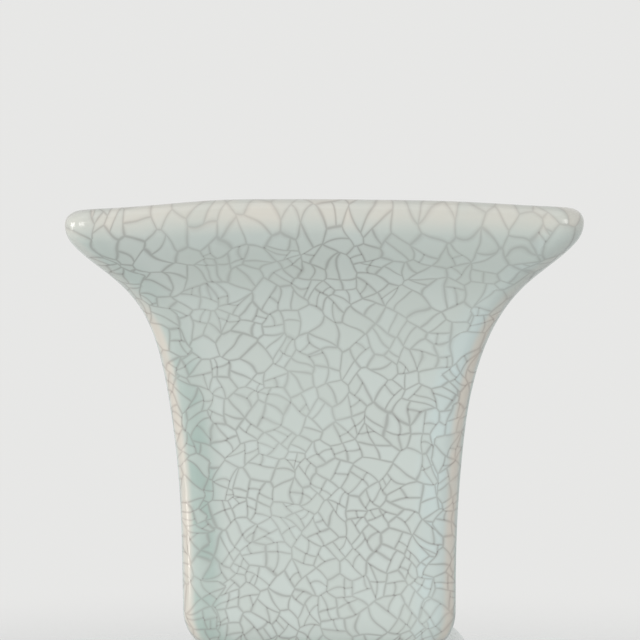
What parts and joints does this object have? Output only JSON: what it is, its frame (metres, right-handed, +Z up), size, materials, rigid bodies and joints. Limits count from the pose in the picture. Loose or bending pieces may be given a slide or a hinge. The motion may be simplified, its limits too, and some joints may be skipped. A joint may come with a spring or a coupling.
{
  "type": "square gu vase",
  "caption": "Square gu vase with a flared mouth, slim neck, drum-shaped middle and spreading foot, slab-built in clay under a thick crackled celadon glaze.",
  "frame": {"origin": "centre of the square foot, on the surface the vase stands on", "axes": "+Z up along the vase's axis, +X to the right and -Y towards the front face; the four sides are alike"},
  "size_m": [0.1, 0.1, 0.19],
  "materials": {
    "clay_body": "bare fired stoneware, matt, pinkish buff",
    "crackle_glaze": "glossy pale celadon glaze with a fine grey crackle"
  },
  "bodies": {
    "root": {"foot_wall_front": "clay_body", "foot_wall_right": "clay_body", "foot_wall_back": "clay_body", "foot_wall_left": "clay_body", "floor_slab": "clay_body", "belly_wall_front": "clay_body", "belly_wall_right": "clay_body", "belly_wall_back": "clay_body", "belly_wall_left": "clay_body", "neck_wall_front": "clay_body", "neck_wall_right": "clay_body", "neck_wall_back": "clay_body", "neck_wall_left": "clay_body", "glaze_coat": "crackle_glaze", "underside_glaze": "crackle_glaze"}
  },
  "joints": []
}
